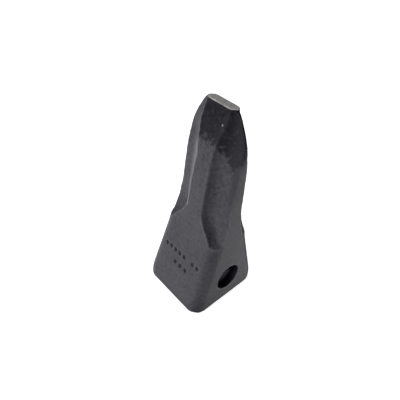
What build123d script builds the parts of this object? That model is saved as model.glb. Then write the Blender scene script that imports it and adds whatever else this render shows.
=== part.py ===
"""Excavator bucket tooth: a rock-chisel point, with the rubber-cored side pin that locks it on.

Frame, in mm: +Z runs from the open socket rim up to the digging tip, X runs along the cross pin
and the cutting edge, and Y is the tooth's thickness. The origin is the centre of the socket rim.
"""

from build123d import *
import math
import os

os.makedirs("parts", exist_ok=True)

# ---- casting, mm ----

LENGTH = 179.0  # rim to tip
BASE_WIDTH = 68.0  # along X, at the rim
BASE_DEPTH = 74.4  # along Y, at the rim
CORNER_R = 11.3  # the block's four upright corners
RIM_EDGE_R = 1.5  # rounding of the rim's outer edge

RIM_HEIGHT = 6.0  # the rim band stands upright up to here
BLEND_HEIGHT = 12.0  # and has curved into the slope by here
SHOULDER_Z = 58.0  # the slope's straight run ends here
SHOULDER_DEPTH = 23.4  # half depth there
BLADE_DEPTH = [(18.9, 88.0), (17.5, 110.0), (14.5, 136.0), (11.9, 153.0)]  # half depth, z
TIP_DEPTH = 4.1  # half depth of the tip's flat
TIP_SLOPE = 0.36  # how fast the rib's face closes in at the tip
SIDE_TOP = (29.0, 90.0)  # half width, z, where the straight sides end
BLADE_WIDTH = [(28.0, 135.0), (27.1, 150.0), (23.9, 162.0), (21.0, 168.0)]  # half width, z
TIP_WIDTH = 13.2  # half width of the tip's flat
TIP_FLARE = 1.6  # how fast the blade's sides close in at the tip
SCALLOP_TOP_OF_BLOCK = 80.0  # the scallops have taken the block's corners off by here

# The scallop down each corner of the blade, at its guide levels: its edge on the rib (x, y), its
# edge on the side strip (x, y), and how hollow it is between them, from 0, flat, to 1, square.
SCALLOP = [
    (62.0, (25.4, 22.2), (30.8, 16.6), 0.85),
    (68.0, (23.4, 21.3), (30.4, 13.3), 0.88),
    (75.0, (20.0, 20.6), (30.2, 10.4), 0.88),
    (84.0, (13.0, 19.4), (29.6, 7.7), 0.85),
    (92.0, (9.2, 18.7), (29.0, 6.7), 0.88),
    (104.0, (8.5, 18.0), (28.7, 6.2), 0.9),
    (120.0, (8.5, 16.6), (28.4, 5.5), 0.9),
    (134.0, (8.0, 14.9), (28.0, 4.6), 0.8),
    (146.0, (7.6, 13.2), (27.4, 2.8), 0.6),
    (155.0, (8.8, 11.5), (26.1, 1.3), 0.4),
    (165.0, (10.8, 8.6), (22.4, 0.9), 0.3),
    (182.0, (11.2, 3.0), (11.4, 0.8), 0.2),
]
SCALLOP_STEP = 4.0  # spacing of the sections that the scallop is lofted through
VALLEY_WEIGHT = 1.6  # sharpness of the scallop's valley
SCALLOP_FOOT = (27.2, 17.6, 68.4)  # the scallop's end wall meets the block's corner here: x, y, z
END_WALL_LEAN = 40.0  # degrees, how far that wall is from level
REACH = 60.0  # cutters reach this far out, past the casting

# ---- nose socket ----

SOCKET = [(-1.0, 24.6, 28.4), (50.0, 21.2, 14.9), (72.0, 19.4, 9.6)]  # z, half width, half depth
SOCKET_CORNER_R = 6.5
SOCKET_ROOF_R = 3.0

# ---- side pin, along X ----

PIN_Z = 26.0
BORE_R = 12.0
PIN_R = BORE_R - 0.08  # sliding clearance
PIN_LENGTH = 55.0
PIN_CHAMFER = 1.6
MAIN_BAR_TOP = 1.0  # the main bar's flat, above the pin's axis
RUBBER_THICKNESS = 4.5
RUBBER_INSET = 0.9  # the rubber's sides and ends sit this far inside the steel
LOCK_LENGTH = 52.0
LOCK_PAD_LENGTH = 33.0  # the full-height middle that snaps in between the tooth's ears
LOCK_RAMP = 4.0
LOCK_END_DROP = 1.2

# ---- foundry pips on the block's -Y face ----

PIP_R = 2.0
PIP_DEPTH = 1.0
PIP_ROWS = [(45.0, [-19.0, -13.5, -8.0, -2.5, 3.0, 13.5, 19.0]), (34.5, [-4.5, 2.0, 8.5])]  # z, x


def save(solid, name):
    """Write one piece."""
    solid.label = name
    export_step(solid, f"parts/{name}.step")


def outline(half, foot, top):
    """A closed face from the right half of an outline, mirrored about the local Y axis."""
    sides = half + mirror(half, about=Plane.YZ)
    return make_face(sides + Line((-foot, 0), (foot, 0)) + Line((-top, LENGTH), (top, LENGTH)))


def slope_rate():
    """How fast the block's front and back faces close in, mm per mm of height."""
    start = (RIM_HEIGHT + BLEND_HEIGHT) / 2
    return (BASE_DEPTH / 2 - SHOULDER_DEPTH) / (SHOULDER_Z - start)


def side_view():
    """Outline in (Y, Z): upright rim band, straight slope, then the rib's curve to the tip."""
    rim = BASE_DEPTH / 2
    rate = slope_rate()
    blend = (rim - rate * (BLEND_HEIGHT - RIM_HEIGHT) / 2, BLEND_HEIGHT)
    shoulder = (SHOULDER_DEPTH, SHOULDER_Z)
    half = Line((rim, 0), (rim, RIM_HEIGHT))
    half += TangentArc((rim, RIM_HEIGHT), blend, tangent=(0, 1))
    half += Line(blend, shoulder)
    half += Spline(
        shoulder,
        *BLADE_DEPTH,
        (TIP_DEPTH, LENGTH),
        tangents=[(-rate, 1), (-TIP_SLOPE, 1)],
    )
    return Plane.YZ * outline(half, rim, TIP_DEPTH)


def front_view():
    """Outline in (X, Z): sides with a light draft, and fuller towards the tip."""
    foot = BASE_WIDTH / 2
    half = Line((foot, 0), SIDE_TOP)
    half += Spline(
        SIDE_TOP,
        *BLADE_WIDTH,
        (TIP_WIDTH, LENGTH),
        tangents=[(SIDE_TOP[0] - foot, SIDE_TOP[1]), (-TIP_FLARE, 1)],
    )
    return Plane.XZ * outline(half, foot, TIP_WIDTH)


def blank():
    """The casting before it is scalloped and hollowed."""
    body = extrude(side_view(), REACH, both=True) & extrude(front_view(), REACH, both=True)
    lower = split(body, bisect_by=Plane.XY.offset(SCALLOP_TOP_OF_BLOCK), keep=Keep.BOTTOM)
    upper = split(body, bisect_by=Plane.XY.offset(SCALLOP_TOP_OF_BLOCK), keep=Keep.TOP)
    uprights = [
        e
        for e in lower.edges()
        if abs(e.center().X) > 20 and abs(e.center().Y) > 15 and e.bounding_box().size.Z > 2
    ]
    lower = fillet(uprights, CORNER_R)
    rim = lower.edges().filter_by_position(Axis.Z, -0.01, 0.01)
    return fillet(rim, RIM_EDGE_R) + upper


def between_levels(z):
    """The scallop's row of sizes at any height, eased smoothly from one guide level to the next."""
    rows = [(level, *rib, *strip, hollow) for level, rib, strip, hollow in SCALLOP]
    i = max(n for n in range(len(rows) - 1) if rows[n][0] <= z)
    low, high = rows[i], rows[i + 1]
    before, after = rows[max(i - 1, 0)], rows[min(i + 2, len(rows) - 1)]
    gap = high[0] - low[0]
    t = (z - low[0]) / gap
    sizes = []
    for n in range(1, len(low)):
        rate_low = (high[n] - before[n]) / (high[0] - before[0]) * gap
        rate_high = (after[n] - low[n]) / (after[0] - low[0]) * gap
        sizes.append(
            low[n] * (2 * t**3 - 3 * t**2 + 1)
            + high[n] * (3 * t**2 - 2 * t**3)
            + rate_low * (t**3 - 2 * t**2 + t)
            + rate_high * (t**3 - t**2)
        )
    return sizes


def scallop_section(z):
    """One section of the +X, -Y scallop: a hollow curve, closed well outside the casting."""
    rib_x, rib_y, strip_x, strip_y, hollow = between_levels(z)
    start = Vector(rib_x, -rib_y, z)
    end = Vector(strip_x, -strip_y, z)
    middle = (start + end) / 2
    valley = middle + (Vector(rib_x, -strip_y, z) - middle) * hollow
    out_x = Vector(REACH, -strip_y, z)
    out_xy = Vector(REACH, -REACH, z)
    out_y = Vector(rib_x, -REACH, z)
    curve = Bezier(start, valley, end, weights=[1, VALLEY_WEIGHT, 1])
    return make_face(curve + Polyline(end, out_x, out_xy, out_y, start))


def end_wall():
    """The plane of the scallop's end wall, facing up and out over the block's corner."""
    x, y, z = SCALLOP_FOOT
    outwards = Vector(1, -1, 0).normalized() * math.sin(math.radians(END_WALL_LEAN))
    upwards = Vector(0, 0, math.cos(math.radians(END_WALL_LEAN)))
    return Plane(origin=(x, -y, z), z_dir=outwards + upwards)


def scallops():
    """The four corner cutters."""
    bottom, top = SCALLOP[0][0], SCALLOP[-1][0]
    steps = round((top - bottom) / SCALLOP_STEP)
    heights = [bottom + (top - bottom) * n / steps for n in range(steps)]
    one = loft([scallop_section(z) for z in heights + [top - 0.01]])
    one = split(one, bisect_by=end_wall(), keep=Keep.TOP)
    pair = [one, mirror(one, about=Plane.YZ)]
    return pair + [mirror(cutter, about=Plane.XZ) for cutter in pair]


def socket():
    """The tapered pocket for the adapter's nose, with rounded corners and a rounded roof."""
    faces = [
        Pos(0, 0, z) * RectangleRounded(2 * width, 2 * depth, SOCKET_CORNER_R)
        for z, width, depth in SOCKET
    ]
    pocket = loft(faces, ruled=True)
    return fillet(pocket.edges().group_by(Axis.Z)[-1], SOCKET_ROOF_R)


def pips():
    """Small round recesses, square to the sloping front face."""
    rate = slope_rate()
    start = (RIM_HEIGHT + BLEND_HEIGHT) / 2
    dots = []
    for z, places in PIP_ROWS:
        depth = BASE_DEPTH / 2 - rate * (z - start)
        for x in places:
            face = Plane(origin=(x, -depth, z), x_dir=(1, 0, 0), z_dir=(0, -1, rate))
            dots.append(face * Cylinder(PIP_R, 2 * PIP_DEPTH))
    return dots


def tooth_body():
    """The one-piece steel casting."""
    body = blank() - scallops() - socket() - pips()
    bore = Pos(0, 0, PIN_Z) * Rot(0, 90, 0) * Cylinder(BORE_R, 2 * REACH)
    return body - bore


def pin_round(length):
    """The pin's full round outline, with chamfered ends, for one of its pieces."""
    rod = Cylinder(PIN_R, length)
    rod = chamfer(rod.edges().filter_by(GeomType.CIRCLE), PIN_CHAMFER)
    return Pos(0, 0, PIN_Z) * Rot(0, 90, 0) * rod


def slab(low, high):
    """A flat slab between two heights measured from the pin's axis."""
    return Pos(0, 0, PIN_Z + (low + high) / 2) * Box(2 * REACH, 2 * REACH, high - low)


def pin_main_bar():
    """The bigger, D-shaped steel bar, which carries the digging load."""
    return pin_round(PIN_LENGTH) & slab(-REACH, MAIN_BAR_TOP)


def pin_rubber():
    """The rubber strip bonded between the two steel bars."""
    core = Pos(0, 0, PIN_Z) * Rot(0, 90, 0) * Cylinder(PIN_R - RUBBER_INSET, LOCK_LENGTH - 2)
    return core & slab(MAIN_BAR_TOP, MAIN_BAR_TOP + RUBBER_THICKNESS)


def pin_lock_bar():
    """The thinner steel bar that the rubber pushes outwards, ramped down towards its ends."""
    floor = MAIN_BAR_TOP + RUBBER_THICKNESS
    crown = PIN_R + 1
    end = PIN_R - LOCK_END_DROP
    flat = LOCK_PAD_LENGTH / 2
    ramp = flat + LOCK_RAMP
    tail = LOCK_LENGTH / 2
    half = [(0, floor), (tail, floor), (tail, end), (ramp, end), (flat, PIN_R), (flat, crown)]
    points = half + [(0, crown)]
    side = make_face(Polyline(*points, close=True))
    profile = side + mirror(side, about=Plane.YZ)
    cutter = extrude(Plane.XZ * Pos(0, PIN_Z) * profile, REACH, both=True)
    return pin_round(LOCK_LENGTH) & cutter


save(tooth_body(), "tooth_body")
save(pin_main_bar(), "pin_main_bar")
save(pin_rubber(), "pin_rubber")
save(pin_lock_bar(), "pin_lock_bar")
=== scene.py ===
"""Excavator bucket tooth: the looks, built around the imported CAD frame.

Everything is in metres, in the CAD's own frame: +Z from the socket rim to the digging tip, X along
the cross pin, Y the tooth's thickness. The casting is remeshed so that its edges are rounded like a
sand casting's and its skin is uneven; the pin's bars and rubber get their own finished meshes.
"""

import math

import bmesh
import bpy
import numpy as np
from mathutils import Matrix, Vector, noise
from mathutils.bvhtree import BVHTree
from mathutils.kdtree import KDTree


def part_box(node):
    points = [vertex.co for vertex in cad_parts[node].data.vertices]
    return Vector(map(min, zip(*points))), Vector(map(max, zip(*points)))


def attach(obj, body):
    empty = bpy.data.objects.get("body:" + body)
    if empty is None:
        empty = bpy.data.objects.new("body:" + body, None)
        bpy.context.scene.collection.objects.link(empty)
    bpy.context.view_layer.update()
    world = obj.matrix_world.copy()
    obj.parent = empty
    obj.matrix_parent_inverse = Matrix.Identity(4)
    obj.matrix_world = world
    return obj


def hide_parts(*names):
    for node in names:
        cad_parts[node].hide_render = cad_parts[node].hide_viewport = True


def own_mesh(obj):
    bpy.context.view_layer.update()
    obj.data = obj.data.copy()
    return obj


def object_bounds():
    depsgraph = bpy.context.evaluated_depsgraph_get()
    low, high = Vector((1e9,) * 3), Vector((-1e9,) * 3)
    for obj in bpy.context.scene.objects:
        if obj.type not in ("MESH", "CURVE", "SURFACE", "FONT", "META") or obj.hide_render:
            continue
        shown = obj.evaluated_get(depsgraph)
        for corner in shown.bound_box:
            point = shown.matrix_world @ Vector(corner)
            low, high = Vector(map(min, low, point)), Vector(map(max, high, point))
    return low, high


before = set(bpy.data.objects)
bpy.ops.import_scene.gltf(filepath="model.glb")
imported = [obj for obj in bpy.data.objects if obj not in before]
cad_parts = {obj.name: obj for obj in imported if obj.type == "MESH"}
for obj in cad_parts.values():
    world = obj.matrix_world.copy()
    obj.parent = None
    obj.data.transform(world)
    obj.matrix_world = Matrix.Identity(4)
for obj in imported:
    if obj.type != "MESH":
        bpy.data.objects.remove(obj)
CAD_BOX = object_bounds()
HIGH = CAD_BOX[1]
MM = 0.001

# ---- camera, fitted to the object's outline ----

AZIMUTH, ELEVATION, ROLL = 43.674, 41.539, 6.324  # degrees
AIM_HEIGHT = 0.07605
AIM_SHIFT = (-0.00678, 0.01256)  # along the image's right and up
DISTANCE = 0.31057
LENS, SENSOR = 33.75, 36.0  # mm
CLIP_START = 0.01

# ---- studio ----

BOX_SIZE, BOX_DISTANCE, BOX_AIM = 1.2, 2.5, 0.08  # of a softbox; it faces a point this high
SOFTBOXES = [  # azimuth, elevation, watts; the ones below the horizon shine through the floor
    (90, -35, 8),
    (135, -35, 19),
    (270, -35, 11),
    (315, -35, 12),
    (0, -15, 15),
    (45, -15, 4),
    (180, -15, 10),
    (0, 10, 17),
    (90, 10, 1.5),
    (0, 35, 11),
    (200, 35, 14),
    (260, 30, 12),
    (315, 60, 7),
]
WORLD_STRENGTH = 0.02
DISH_FLAT, DISH_CURVE, DISH_HEIGHT = 1.2, 1.0, 4.0  # flat radius, the curve's radius, the wall
DISH_TURNS, DISH_ARC = 64, 12  # steps round the dish, and up its curve
FLOOR_COLOUR, FLOOR_ROUGHNESS, FLOOR_GLOW = (0.9, 0.9, 0.9, 1), 0.9, 0.93
WHITE = (1, 1, 1, 1)

# ---- colours, linear ----

PAINT_LOW, PAINT_HIGH = (0.066, 0.065, 0.077, 1), (0.078, 0.077, 0.090, 1)
PAINT_PALE, PAINT_DEEP = (0.112, 0.110, 0.126, 1), (0.044, 0.043, 0.052, 1)
# Worn paint, also used for painted highlights, and a colour for painted shade along the rim.
PAINT_WORN_AND_HIGHLIGHT, PAINT_RIM_SHADE = (0.21, 0.21, 0.22, 1), (0.018, 0.018, 0.028, 1)
# Painted shade for the skin's small recesses.
RECESS_SHADE = (0.006, 0.006, 0.008, 1)
# The tip's dark skin: a darker finish with painted shade over it.
TIP_LOW, TIP_HIGH = (0.008, 0.0072, 0.011, 1), (0.022, 0.020, 0.027, 1)
# Painted shade in the socket and the bore.
PAINTED_BORE_SHADE = (0.018, 0.019, 0.034, 1)
STEEL_LOW, STEEL_HIGH = (0.004, 0.004, 0.009, 1), (0.008, 0.008, 0.015, 1)
METAL_LOW, METAL_HIGH = (0.20, 0.195, 0.19, 1), (0.54, 0.53, 0.515, 1)
# Painted highlight along the bare metal's proud edges.
METAL_HIGHLIGHT = (0.85, 0.84, 0.82, 1)
RUBBER_LOW, RUBBER_HIGH = (0.014, 0.014, 0.014, 1), (0.035, 0.033, 0.030, 1)

# ---- surfaces ----

PAINT_SPECULAR, PAINT_ROUGHNESS = 0.25, (0.48, 0.64)
STEEL_SPECULAR, STEEL_ROUGHNESS = 0.12, (0.55, 0.7)
RUBBER_ROUGHNESS = (0.72, 0.88)
BLOTCH_SIZE, MOTTLE_SIZE, FINE_SIZE = 16 * MM, 2.6 * MM, 0.8 * MM  # the paint's three noises
PEEL_SIZE, PEEL_DEPTH, FINE_DEPTH = 1.8 * MM, 0.16 * MM, 0.04 * MM  # and its relief
RUB_SIZE, DUST_SIZE = 5 * MM, 4 * MM  # patches on the steel and on the rubber
TURNING_SIZE, TURNING_DEPTH = 0.3 * MM, 0.01 * MM
RINGS = (1, 0.02, 0.02)  # stretches noise into turning marks round the X axis
GROUND_SIZE, GROUND_DEPTH = 0.5 * MM, 0.015 * MM
MOULDED_SIZE, MOULDED_DEPTH = 0.6 * MM, 0.04 * MM
EDGE_WEAR_AND_HIGHLIGHT, METAL_EDGE_HIGHLIGHT = 0.45, 0.8  # how much an edge's paint is rubbed lighter, partly as a painted highlight, and how much highlight is painted on the bare metal's proud edges
# What lies over the primer, in order: wear, painted shade and painted highlights. For each: the
# value that the mesh keeps, where on that value it starts and is full, how much of it there is, and
# its colour.
WEAR_AND_PAINTED_LIGHT = [
    # painted shade towards the rim
    ("low_shade", 0, 1, 0.8, PAINT_DEEP),
    # painted shade down the +X scallops
    ("scallop_shade", 0, 1, 1, PAINT_DEEP),
    # painted highlight on the facet beside the rib
    ("facet_highlight", 0, 1, 0.8, PAINT_WORN_AND_HIGHLIGHT),
    # painted highlight on the rim's lip, then painted shade along the line above it
    ("rim_highlight_shade", 0.1, 0.9, 0.3, PAINT_WORN_AND_HIGHLIGHT),
    ("rim_highlight_shade", -0.1, -0.8, 0.5, PAINT_RIM_SHADE),
    # painted shade in the recesses
    ("bend", -0.25, -0.8, 0.9, RECESS_SHADE),
]

# ---- the casting's mesh ----

VOXEL = 0.6 * MM
TRIANGLES = 190_000  # the casting's mesh is thinned to this
WELD = 0.002 * MM
EDGE_ANGLE = math.radians(24)  # a CAD edge sharper than this is rounded
EDGE_SAMPLE = 0.5 * MM
CRISP_NEAR, CRISP_FAR = 0.7 * MM, 1.8 * MM  # the rounding fades out between these distances
CRISP_STEPS = 4
SOFT_NEAR, SOFT_FAR = 2.5 * MM, 5.0 * MM  # and the softer rounding between these
SOFT_STEPS = 40
RELAX = 0.5  # how far one smoothing step moves a point towards its neighbours' middle
# Heights where the blade's edges are soft: each eases in between the first two and out between
# the last two.
RIB_ZONE = (86 * MM, 96 * MM, 140 * MM, 152 * MM)  # the rib's edges on the pale side
DARK_RIB_ZONE = (86 * MM, 96 * MM, 172 * MM, 178 * MM)  # and on the side of the dark scallop
STRIP_ZONE = (90 * MM, 104 * MM, 146 * MM, 156 * MM)  # the side strips' edges
FACET_HIGHLIGHT_ZONE = (84 * MM, 98 * MM, 138 * MM, 152 * MM)  # where a highlight is painted on the facet beside the rib
FACET_HIGHLIGHT_SIDE = (-26 * MM, -12 * MM)  # none at the first, and the full painted highlight at the second
RIB_REACH = 13 * MM  # the rib's edges are nearer the middle than this
BEND_STEPS = 12  # smoothing steps that show where the skin is bent
BEND_SCALE = 0.25 * MM

# ---- the casting's skin ----

WAVE_SIZE, WAVE_DEPTH = 22 * MM, 0.14 * MM
GRAIN_SIZE, GRAIN_DEPTH = 3.2 * MM, 0.13 * MM
RAY_CLEAR = 0.5 * MM
SOCKET_REACH = 80 * MM  # the socket and the bore are narrower than this
BORE_EDGE = 1.0 * MM  # the bore's painted shade comes out this far round it
ROOF_FLOOR, DOWNWARDS = 10 * MM, -0.3  # what faces down above this height is in the socket
MOUTH_TOP, INWARDS = 20 * MM, -0.4  # and so is what faces inwards below this one
# Painted shade over a darker finish at the tip: facets that lean towards -X are left pale because
# they are lit.
DARK_Z = 153.5 * MM  # the dark skin starts here on the rib,
DARK_DIP = 16 * MM  # and this much lower
DARK_DIP_X, DARK_DIP_WIDTH = 20.7 * MM, 7.5 * MM  # in the scallops
DARK_RAGGED, DARK_PATCH = 3.5 * MM, 5 * MM  # its edge wanders this far, in patches of this size
DARK_FADE = 6.0 * MM
PALE_FACET = (-0.25, -0.1)  # a facet that leans this far towards -X stays pale
PALE_SIDE = (-13.5 * MM, -11.5 * MM)  # and so does what is further that way than this
STREAK_X, STREAK_WIDTH = 24.6 * MM, 3.0 * MM  # painted shade: dark bands run down the +X scallops here
STREAK_RISE = (84 * MM, 126 * MM)  # from none at the first height to all of it at the second
SIDEWAYS = 0.7  # skin that faces along X more than this is on the side strips
FLAT_DEPTH, FLAT_LEAN = 0.7 * MM, (0.5, 0.9)  # the tip's bare flat: its edge, and how it faces up
# Painted highlight on the rim's lip, and painted shade along a line above it.
RIM_LIP, RIM_LINE, RIM_LINE_WIDTH = 1.8 * MM, 3.6 * MM, 0.8 * MM
# Painted shade that darkens the paint towards the rim, most on the pin's sides.
LOW_SHADE_HEIGHT, LOW_SHADE_FRONT = 24 * MM, 0.25  # how high it reaches, and the front and back's share
LOW_SHADE_LEAN = (0.2, 0.9)  # from that share to all of it as the skin turns to face along X
SPECK_AT, SPECK_SIZE = Vector((8.7 * MM, -7.7 * MM, 167.7 * MM)), 0.8 * MM
FRACTAL_FADE, FRACTAL_GAP = 0.9, 2.0  # how fast the finer octaves fade, and their step in size
SEED_STEP = (7.31, 3.17, 5.93)  # a seed reads the noise this far from the one before it

# ---- the pin's meshes ----

MAIN_BAR_BEVEL, LOCK_BAR_BEVEL, RUBBER_BEVEL = 0.35 * MM, 0.3 * MM, 0.4 * MM
BEVEL_STEPS = 3
FLAT_ANGLE = math.radians(0.8)  # faces that meet at less than this are merged
BEVEL_ANGLE = math.radians(28)  # an edge sharper than this is broken
SHADE_ANGLE = math.radians(35)  # and one sharper than this is shaded sharp


# ---------------------------------------------------------------- small helpers


def link(obj):
    """Put an object in the scene."""
    bpy.context.scene.collection.objects.link(obj)
    return obj


def smoothstep(low, high, value):
    """0 below low, 1 above high, and eased in between."""
    t = np.clip((value - low) / (high - low), 0, 1)
    return t * t * (3 - 2 * t)


def coordinates(mesh):
    """The mesh's vertices as an N x 3 array."""
    co = np.empty(len(mesh.vertices) * 3, np.float32)
    mesh.vertices.foreach_get("co", co)
    return co.reshape(-1, 3).astype(float)


def set_coordinates(mesh, co):
    """Write an N x 3 array back to the mesh."""
    mesh.vertices.foreach_set("co", co.astype(np.float32).ravel())
    mesh.update()


def normals(mesh):
    """The mesh's vertex normals as an N x 3 array."""
    n = np.empty(len(mesh.vertices) * 3, np.float32)
    mesh.vertex_normals.foreach_get("vector", n)
    return n.reshape(-1, 3).astype(float)


def edge_pairs(mesh):
    """The mesh's edges as an N x 2 array of vertex numbers."""
    pairs = np.empty(len(mesh.edges) * 2, np.int32)
    mesh.edges.foreach_get("vertices", pairs)
    return pairs.reshape(-1, 2)


def relax(co, pairs, steps):
    """Laplacian smoothing of the points, this many times."""
    count = np.bincount(pairs.ravel(), minlength=len(co))[:, None]
    for _ in range(steps):
        total = np.zeros_like(co)
        for axis in range(3):
            total[:, axis] = np.bincount(pairs[:, 0], co[pairs[:, 1], axis], len(co))
            total[:, axis] += np.bincount(pairs[:, 1], co[pairs[:, 0], axis], len(co))
        co = co + RELAX * (total / count - co)
    return co


def store(mesh, name, values):
    """Keep one number per vertex, for the materials to read."""
    layer = mesh.attributes.new(name, "FLOAT", "POINT")
    layer.data.foreach_set("value", values.astype(np.float32))


def fractal(co, size, octaves, seed):
    """Smooth noise about 0 at each point, with features of about this size in metres."""
    offset = Vector([seed * step for step in SEED_STEP])
    settings = (FRACTAL_FADE, FRACTAL_GAP, octaves)
    return np.array([noise.fractal(Vector(p) / size + offset, *settings) for p in co])


def welded_copy(node, name):
    """A new object with a CAD node's mesh, its doubled points merged to make one closed skin."""
    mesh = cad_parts[node].data.copy()
    mesh.name = name
    mesh.materials.clear()
    bm = bmesh.new()
    bm.from_mesh(mesh)
    bmesh.ops.remove_doubles(bm, verts=bm.verts, dist=WELD)
    bmesh.ops.recalc_face_normals(bm, faces=bm.faces)
    bm.to_mesh(mesh)
    bm.free()
    return link(bpy.data.objects.new(name, mesh))


def apply_modifiers(obj):
    """Replace the object's mesh by what its modifiers make of it."""
    evaluated = obj.evaluated_get(bpy.context.evaluated_depsgraph_get())
    mesh = bpy.data.meshes.new_from_object(evaluated)
    obj.modifiers.clear()
    obj.data = mesh
    return mesh


# ---------------------------------------------------------------- the casting


def sharp_edge_points(obj):
    """Points along the CAD skin's sharp edges, in a tree that finds the nearest one."""
    bm = bmesh.new()
    bm.from_mesh(obj.data)
    points = []
    for e in bm.edges:
        if len(e.link_faces) == 2 and e.calc_face_angle(0) > EDGE_ANGLE:
            a, b = e.verts[0].co, e.verts[1].co
            steps = max(1, round((b - a).length / EDGE_SAMPLE))
            points += [a.lerp(b, n / steps) for n in range(steps + 1)]
    bm.free()
    tree = KDTree(len(points))
    for i, p in enumerate(points):
        tree.insert(p, i)
    tree.balance()
    return tree


def between(zone, z):
    """1 between the zone's heights and 0 outside them, eased."""
    start, full, fading, end = zone
    return smoothstep(start, full, z) * (1 - smoothstep(fading, end, z))


def soft_zone(co):
    """1 along the blade's edges that are well rounded, and 0 elsewhere."""
    x, z = co[:, 0], co[:, 2]
    rib = np.where(x > 0, between(DARK_RIB_ZONE, z), between(RIB_ZONE, z))
    return np.where(np.abs(x) < RIB_REACH, rib, between(STRIP_ZONE, z))


def rounded(mesh, skin, sharp):
    """The remeshed skin's points, laid on the CAD skin except where its sharp edges are rounded."""
    co = coordinates(mesh)
    pairs = edge_pairs(mesh)
    away = np.array([sharp.find(p)[2] for p in co])
    on_skin = np.array([skin.find_nearest(p)[0] for p in co])
    crisp = relax(co, pairs, CRISP_STEPS)
    soft = relax(crisp, pairs, SOFT_STEPS)
    near = 1 - smoothstep(CRISP_NEAR, CRISP_FAR, away)[:, None]
    near_rib = (1 - smoothstep(SOFT_NEAR, SOFT_FAR, away)) * soft_zone(co)
    co = on_skin + near * (crisp - on_skin)
    return co + near_rib[:, None] * (soft - co)


def bend(mesh):
    """How far each point stands out of its surroundings, from about -1, a recess, to 1, an edge."""
    co = coordinates(mesh)
    smooth = relax(co, edge_pairs(mesh), BEND_STEPS)
    proud = ((co - smooth) * normals(mesh)).sum(axis=1)
    return np.clip(proud / BEND_SCALE, -1, 1)


def carried_over(values, from_co, to_co):
    """Each new point's value from the nearest old point."""
    tree = KDTree(len(from_co))
    for i, p in enumerate(from_co):
        tree.insert(p, i)
    tree.balance()
    return values[[tree.find(p)[1] for p in to_co]]


def outwards(co, out):
    """How far the skin faces away from the tooth's long axis, from -1 to 1."""
    return (out[:, :2] * co[:, :2]).sum(axis=1) / np.hypot(co[:, 0], co[:, 1]).clip(MM)


def inside(piece, co, out):
    """1 in the socket and the bore, where shade is painted, and 0 outside: their skin looks at a
    wall, down or inwards.
    """
    bpy.context.view_layer.update()
    walls = BVHTree.FromObject(piece, bpy.context.evaluated_depsgraph_get())
    rays = zip(co + out * RAY_CLEAR, out)
    faced = [walls.ray_cast(Vector(p), Vector(n), SOCKET_REACH)[0] is not None for p, n in rays]
    roof = (out[:, 2] < DOWNWARDS) & (co[:, 2] > ROOF_FLOOR)
    mouth = (outwards(co, out) < INWARDS) & (co[:, 2] < MOUTH_TOP)
    return np.maximum(np.array(faced) | roof | mouth, bore_edge(co))


def bore_edge(co):
    """1 in the pin's bore and on its rounded edges, where shade is painted, and 0 outside them."""
    low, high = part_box("pin_main_bar")
    radius = (high.y - low.y) / 2
    from_axis = np.hypot(co[:, 1], co[:, 2] - low.z - radius)
    return 1 - smoothstep(radius + BORE_EDGE / 2, radius + BORE_EDGE, from_axis)


def hump(value, middle, width):
    """1 at the middle, fading to 0 about two widths away."""
    return np.exp(-(((value - middle) / width) ** 2))


def rim_light_and_shade(co, out):
    """1 along the rim's lip, where a highlight is painted, and -1 along the line above it, where
    shade is painted.
    """
    z = co[:, 2]
    lip = 1 - smoothstep(RIM_LIP, RIM_LINE, z)
    return (lip - hump(z, RIM_LINE, RIM_LINE_WIDTH)) * (outwards(co, out) > 0)


def low_shade(co, out):
    """Painted shade: 1 at the rim on the pin's sides, less on the front and back, and 0 from a
    little way up.
    """
    low = 1 - smoothstep(0, LOW_SHADE_HEIGHT, co[:, 2])
    sideways = smoothstep(*LOW_SHADE_LEAN, np.abs(out[:, 0]))
    return low * (LOW_SHADE_FRONT + (1 - LOW_SHADE_FRONT) * sideways)


def dark_tip(co, out):
    """1 on the tip's dark skin, a darker finish with painted shade over it, with a ragged lower
    edge, and 0 below it and on the pale facets, which are left out because they are lit.
    """
    start = DARK_Z - DARK_DIP * hump(np.abs(co[:, 0]), DARK_DIP_X, DARK_DIP_WIDTH)
    start = start + DARK_RAGGED * fractal(co, DARK_PATCH, octaves=3, seed=3)
    high = smoothstep(start - DARK_FADE, start + DARK_FADE, co[:, 2])
    return high * smoothstep(*PALE_FACET, out[:, 0]) * smoothstep(*PALE_SIDE, co[:, 0])


def scallop_shade(co, out):
    """Painted shade: 1 along the dark bands that run down the +X scallops from the dark skin, and 0
    beside.
    """
    band = hump(co[:, 0], STREAK_X, STREAK_WIDTH) * smoothstep(*STREAK_RISE, co[:, 2])
    return band * (np.abs(out[:, 0]) < SIDEWAYS)


def painted_facet_highlight(co, out):
    """1 where a highlight is painted: the pale facet on the front, beside the rib, up to its edge.
    """
    facet = smoothstep(*FACET_HIGHLIGHT_SIDE, co[:, 0]) * (1 - smoothstep(*PALE_FACET, out[:, 0]))
    front = (co[:, 0] < 0) & (co[:, 1] < 0)
    return facet * front * between(FACET_HIGHLIGHT_ZONE, co[:, 2])


def bare_steel(co, out):
    """1 where the paint is off: the tip's flat, and a speck below it."""
    flat = smoothstep(HIGH.z - FLAT_DEPTH, HIGH.z - FLAT_DEPTH / 2, co[:, 2])
    flat = flat * smoothstep(*FLAT_LEAN, out[:, 2])
    speck = hump(np.linalg.norm(co - np.array(SPECK_AT), axis=1), 0, SPECK_SIZE)
    return np.maximum(flat, speck)


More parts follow.
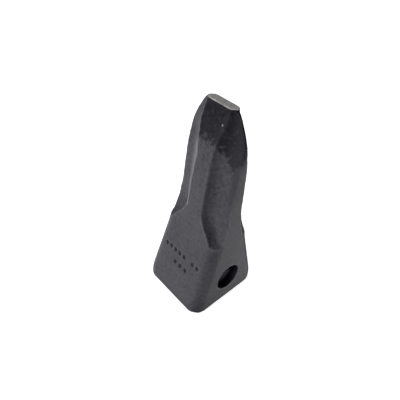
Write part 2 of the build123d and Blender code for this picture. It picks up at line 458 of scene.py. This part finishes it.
def uneven(co, out):
    """Sink the skin a little here and there: slow waviness, and the grain of the sand mould."""
    wave = np.clip(0.5 + 0.5 * fractal(co, WAVE_SIZE, octaves=2, seed=1), 0, 1)
    grain = np.clip(0.5 + 0.5 * fractal(co, GRAIN_SIZE, octaves=3, seed=2), 0, 1)
    return co - out * (WAVE_DEPTH * wave + GRAIN_DEPTH * grain)[:, None]


def casting():
    """The tooth's casting, with rounded edges, an uneven skin, and its wear, painted shade and
    painted highlights kept for the paint.
    """
    piece = welded_copy("tooth_body", "tooth_casting")
    skin = BVHTree.FromObject(piece, bpy.context.evaluated_depsgraph_get())
    sharp = sharp_edge_points(piece)

    remesh = piece.modifiers.new("remesh", "REMESH")
    remesh.mode = "VOXEL"
    remesh.voxel_size = VOXEL
    mesh = apply_modifiers(piece)
    set_coordinates(mesh, rounded(mesh, skin, sharp))
    fine_bend = bend(mesh)
    set_coordinates(mesh, uneven(coordinates(mesh), normals(mesh)))
    fine_co = coordinates(mesh)

    thin = piece.modifiers.new("thin", "DECIMATE")
    thin.ratio = TRIANGLES / (2 * len(mesh.polygons))
    mesh = apply_modifiers(piece)
    co, out = coordinates(mesh), normals(mesh)
    store(mesh, "bend", carried_over(fine_bend, fine_co, co))
    store(mesh, "inside", inside(piece, co, out))
    store(mesh, "rim_highlight_shade", rim_light_and_shade(co, out))
    store(mesh, "low_shade", low_shade(co, out))
    store(mesh, "facet_highlight", painted_facet_highlight(co, out))
    store(mesh, "scallop_shade", scallop_shade(co, out))
    store(mesh, "dark", dark_tip(co, out))
    store(mesh, "bare", bare_steel(co, out))
    for face in mesh.polygons:
        face.use_smooth = True
    return piece


# ---------------------------------------------------------------- the side pin


def finished(node, name, bevel):
    """A machined or moulded piece: the CAD solid with its sharp edges broken."""
    piece = welded_copy(node, name)
    bm = bmesh.new()
    bm.from_mesh(piece.data)
    bmesh.ops.dissolve_limit(bm, angle_limit=FLAT_ANGLE, verts=bm.verts, edges=bm.edges)
    bm.to_mesh(piece.data)
    bm.free()
    break_edges = piece.modifiers.new("bevel", "BEVEL")
    break_edges.width = bevel
    break_edges.segments = BEVEL_STEPS
    break_edges.limit_method = "ANGLE"
    break_edges.angle_limit = BEVEL_ANGLE
    mesh = apply_modifiers(piece)
    for face in mesh.polygons:
        face.use_smooth = True
    mesh.set_sharp_from_angle(angle=SHADE_ANGLE)
    return piece


# ---------------------------------------------------------------- materials


def node(tree, kind, inputs=None, **settings):
    """Add a shader node. Each input is a value, or the socket that feeds it."""
    made = tree.nodes.new(kind)
    for key, value in settings.items():
        setattr(made, key, value)
    for key, value in (inputs or {}).items():
        if isinstance(value, bpy.types.NodeSocket):
            tree.links.new(value, made.inputs[key])
        else:
            made.inputs[key].default_value = value
    return made


def new_material(name):
    """A material with an empty Principled shader: (material, its tree, the shader)."""
    material = bpy.data.materials.new(name)
    material.use_nodes = True
    tree = material.node_tree
    return material, tree, tree.nodes["Principled BSDF"]


def place(tree):
    """The point on the object, in metres."""
    return node(tree, "ShaderNodeTexCoord").outputs["Object"]


def speckle(tree, at, size, detail=3.0, roughness=0.55):
    """Noise from 0 to 1 with features of about this size in metres."""
    inputs = {"Vector": at, "Scale": 1 / size, "Detail": detail, "Roughness": roughness}
    return node(tree, "ShaderNodeTexNoise", inputs).outputs["Fac"]


def ramp(tree, value, low, high, to_low=0.0, to_high=1.0):
    """Ease a value from one range to another."""
    inputs = {"Value": value, "From Min": low, "From Max": high, "To Min": to_low, "To Max": to_high}
    return node(tree, "ShaderNodeMapRange", inputs, interpolation_type="SMOOTHSTEP").outputs[0]


def mix(tree, factor, a, b):
    """Mix two colours."""
    return node(tree, "ShaderNodeMix", {0: factor, 6: a, 7: b}, data_type="RGBA").outputs[2]


def maths(tree, operation, a, b=0.0):
    """One sum on two values."""
    return node(tree, "ShaderNodeMath", {0: a, 1: b}, operation=operation).outputs[0]


def bump(tree, height, depth, normal=None):
    """A bump map from a height of 0 to 1, this many metres deep."""
    inputs = {"Height": height, "Distance": depth, "Strength": 1.0}
    if normal is not None:
        inputs["Normal"] = normal
    return node(tree, "ShaderNodeBump", inputs).outputs[0]


def kept(tree, name):
    """A value that the mesh keeps for each point."""
    return node(tree, "ShaderNodeAttribute", attribute_name=name).outputs["Fac"]


def primer(tree, blotch, mottle, fine):
    """Dark-grey primer: mottled, rubbed on its proud edges, which are also painted lighter as a
    highlight, and with the wear, painted shade and painted highlights of the table over the primer.
    """
    paint = mix(tree, ramp(tree, blotch, 0.3, 0.7), PAINT_LOW, PAINT_HIGH)
    paint = mix(tree, ramp(tree, mottle, 0.45, 0.7, 0, 0.6), paint, PAINT_PALE)
    paint = mix(tree, ramp(tree, mottle, 0.52, 0.3, 0, 0.6), paint, PAINT_DEEP)
    # Proud edges: worn paint, and partly a painted highlight.
    proud = ramp(tree, kept(tree, "bend"), 0.12, 0.6)
    rubbed_and_highlit = maths(tree, "MULTIPLY", proud, ramp(tree, fine, 0.25, 0.6))
    paint = mix(tree, maths(tree, "MULTIPLY", rubbed_and_highlit, EDGE_WEAR_AND_HIGHLIGHT), paint, PAINT_WORN_AND_HIGHLIGHT)
    for name, start, full, strength, colour in WEAR_AND_PAINTED_LIGHT:
        paint = mix(tree, ramp(tree, kept(tree, name), start, full, 0, strength), paint, colour)
    return paint


def dark_skin(tree, mottle, paint):
    """The paint, with the tip's dark skin over it, a darker finish with painted shade, and with
    shade painted in the socket and bore.
    """
    edge = maths(tree, "ADD", kept(tree, "dark"), ramp(tree, mottle, 0.3, 0.7, 0.3, -0.3))
    tip = mix(tree, ramp(tree, mottle, 0.35, 0.7), TIP_LOW, TIP_HIGH)
    paint = mix(tree, ramp(tree, edge, 0.05, 0.95), paint, tip)
    # Painted shade in the socket and the bore.
    return mix(tree, ramp(tree, kept(tree, "inside"), 0.3, 0.8), paint, PAINTED_BORE_SHADE)


def bare_metal(tree, mottle, fine):
    """Sawn steel, with a highlight painted along its proud edges."""
    metal = mix(tree, ramp(tree, fine, 0.35, 0.65), METAL_LOW, METAL_HIGH)
    # Painted highlight along the proud edges.
    proud = ramp(tree, kept(tree, "bend"), 0.1, 0.6)
    edge_highlight = maths(tree, "MULTIPLY", proud, ramp(tree, mottle, 0.35, 0.6))
    return mix(tree, maths(tree, "MULTIPLY", edge_highlight, METAL_EDGE_HIGHLIGHT), metal, METAL_HIGHLIGHT)


def cast_steel():
    """Satin dark-grey primer over a sand-cast skin, dark at the tip and bare on its flat, with
    painted shade and painted highlights on it.
    """
    material, tree, shader = new_material("cast_steel_primer")
    at = place(tree)
    blotch = speckle(tree, at, BLOTCH_SIZE, 3)
    mottle = speckle(tree, at, MOTTLE_SIZE, 4, 0.7)
    fine = speckle(tree, at, FINE_SIZE, 3, 0.65)
    paint = dark_skin(tree, mottle, primer(tree, blotch, mottle, fine))
    bare = ramp(tree, kept(tree, "bare"), 0.3, 0.6)
    colour = mix(tree, bare, paint, bare_metal(tree, mottle, fine))
    tree.links.new(colour, shader.inputs["Base Color"])
    roughness = ramp(tree, mottle, 0.2, 0.8, *PAINT_ROUGHNESS)
    tree.links.new(roughness, shader.inputs["Roughness"])
    shader.inputs["Specular IOR Level"].default_value = PAINT_SPECULAR
    peel = bump(tree, speckle(tree, at, PEEL_SIZE, 4, 0.65), PEEL_DEPTH)
    tree.links.new(bump(tree, fine, FINE_DEPTH, peel), shader.inputs["Normal"])
    return material


def black_steel():
    """Blackened, ground steel bar."""
    material, tree, shader = new_material("black_steel")
    at = place(tree)
    rub = speckle(tree, at, RUB_SIZE, 4)
    colour = mix(tree, ramp(tree, rub, 0.35, 0.7), STEEL_LOW, STEEL_HIGH)
    tree.links.new(colour, shader.inputs["Base Color"])
    shader.inputs["Specular IOR Level"].default_value = STEEL_SPECULAR
    tree.links.new(ramp(tree, rub, 0.2, 0.8, *STEEL_ROUGHNESS), shader.inputs["Roughness"])
    rings = node(tree, "ShaderNodeMapping", {"Vector": at, "Scale": RINGS}).outputs[0]
    turned = bump(tree, speckle(tree, rings, TURNING_SIZE, 2), TURNING_DEPTH)
    ground = bump(tree, speckle(tree, at, GROUND_SIZE, 2), GROUND_DEPTH, turned)
    tree.links.new(ground, shader.inputs["Normal"])
    return material


def rubber():
    """Dull black moulded rubber."""
    material, tree, shader = new_material("black_rubber")
    at = place(tree)
    dust = speckle(tree, at, DUST_SIZE, 4)
    colour = mix(tree, ramp(tree, dust, 0.45, 0.75), RUBBER_LOW, RUBBER_HIGH)
    tree.links.new(colour, shader.inputs["Base Color"])
    tree.links.new(ramp(tree, dust, 0.3, 0.8, *RUBBER_ROUGHNESS), shader.inputs["Roughness"])
    moulded = bump(tree, speckle(tree, at, MOULDED_SIZE, 3), MOULDED_DEPTH)
    tree.links.new(moulded, shader.inputs["Normal"])
    return material


def pale_floor():
    """Plain near-white floor that glows a little."""
    material, _, shader = new_material("pale_floor")
    shader.inputs["Base Color"].default_value = FLOOR_COLOUR
    shader.inputs["Roughness"].default_value = FLOOR_ROUGHNESS
    shader.inputs["Emission Color"].default_value = WHITE
    shader.inputs["Emission Strength"].default_value = FLOOR_GLOW
    return material


# ---------------------------------------------------------------- studio


def camera():
    """The camera, looking down on the corner between the front and the pin's side."""
    a, e, roll = (math.radians(v) for v in (AZIMUTH, ELEVATION, ROLL))
    back = Vector((math.sin(a) * math.cos(e), -math.cos(a) * math.cos(e), math.sin(e)))
    level = Vector((math.cos(a), math.sin(a), 0))
    upright = back.cross(level)
    right = math.cos(roll) * level + math.sin(roll) * upright
    up = math.cos(roll) * upright - math.sin(roll) * level
    aim = Vector((0, 0, AIM_HEIGHT)) + right * AIM_SHIFT[0] + up * AIM_SHIFT[1]
    data = bpy.data.cameras.new("camera")
    data.lens, data.sensor_width, data.clip_start = LENS, SENSOR, CLIP_START
    obj = link(bpy.data.objects.new("camera", data))
    turn = Matrix((right, up, back)).transposed()
    obj.matrix_world = Matrix.Translation(aim + back * DISTANCE) @ turn.to_4x4()
    bpy.context.scene.camera = obj


def softbox(name, azimuth, elevation, watts):
    """A square soft light on a wide ring round the object. Azimuth 0 is in front of the -Y face."""
    data = bpy.data.lights.new(name, "AREA")
    data.size, data.energy = BOX_SIZE, watts
    a, e = math.radians(azimuth), math.radians(elevation)
    away = Vector((math.sin(a) * math.cos(e), -math.cos(a) * math.cos(e), math.sin(e)))
    obj = link(bpy.data.objects.new(name, data))
    obj.location = Vector((0, 0, BOX_AIM)) + away * BOX_DISTANCE
    obj.rotation_euler = away.to_track_quat("Z", "Y").to_euler()
    obj.visible_camera = False


def dish_profile():
    """Radius and height of the floor's edge, out along the floor and up its curved wall."""
    points = [(DISH_FLAT / 2, 0), (DISH_FLAT, 0)]
    for n in range(1, DISH_ARC + 1):
        turn = math.pi / 2 * n / DISH_ARC
        points.append((DISH_FLAT + DISH_CURVE * math.sin(turn), DISH_CURVE * (1 - math.cos(turn))))
    return points + [(DISH_FLAT + DISH_CURVE, DISH_HEIGHT)]


def floor():
    """A light table: a pale dish that glows a little and lets the lamps round it through."""
    mesh = bpy.data.meshes.new("floor")
    dish = link(bpy.data.objects.new("floor", mesh))
    bm = bmesh.new()
    turns = [2 * math.pi * n / DISH_TURNS for n in range(DISH_TURNS)]
    rings = []
    for radius, height in dish_profile():
        points = [(radius * math.cos(t), radius * math.sin(t), height) for t in turns]
        rings.append([bm.verts.new(point) for point in points])
    bm.faces.new(rings[0])
    for low, high in zip(rings, rings[1:]):
        for n in range(DISH_TURNS):
            after = (n + 1) % DISH_TURNS
            bm.faces.new((low[n], high[n], high[after], low[after]))
    bmesh.ops.recalc_face_normals(bm, faces=bm.faces)
    bm.to_mesh(mesh)
    bm.free()
    for face in mesh.polygons:
        face.use_smooth = True
    mesh.materials.append(pale_floor())
    dish.visible_diffuse = dish.visible_glossy = dish.visible_shadow = False


def studio():
    """Floor, lights and the pale surroundings."""
    floor()
    world = bpy.data.worlds.new("studio")
    bpy.context.scene.world = world
    world.use_nodes = True
    background = world.node_tree.nodes["Background"]
    background.inputs["Color"].default_value = WHITE
    background.inputs["Strength"].default_value = WORLD_STRENGTH
    for number, (azimuth, elevation, watts) in enumerate(SOFTBOXES):
        softbox(f"softbox_{number}", azimuth, elevation, watts)
    bpy.context.scene.view_settings.view_transform = "Standard"


# ---------------------------------------------------------------- the model

camera()
studio()

tooth = casting()
tooth.data.materials.append(cast_steel())
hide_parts("tooth_body")
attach(tooth, "tooth")

steel = black_steel()
main_bar = finished("pin_main_bar", "pin_bar", MAIN_BAR_BEVEL)
main_bar.data.materials.append(steel)
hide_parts("pin_main_bar")
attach(main_bar, "pin")

lock = finished("pin_lock_bar", "pin_catch", LOCK_BAR_BEVEL)
lock.data.materials.append(steel)
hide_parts("pin_lock_bar")
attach(lock, "lock_bar")

core = finished("pin_rubber", "pin_rubber_core", RUBBER_BEVEL)
core.data.materials.append(rubber())
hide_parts("pin_rubber")
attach(core, "pin")
# The lock bar takes a third of the rubber's thickness when it is pressed fully in.
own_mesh(core)
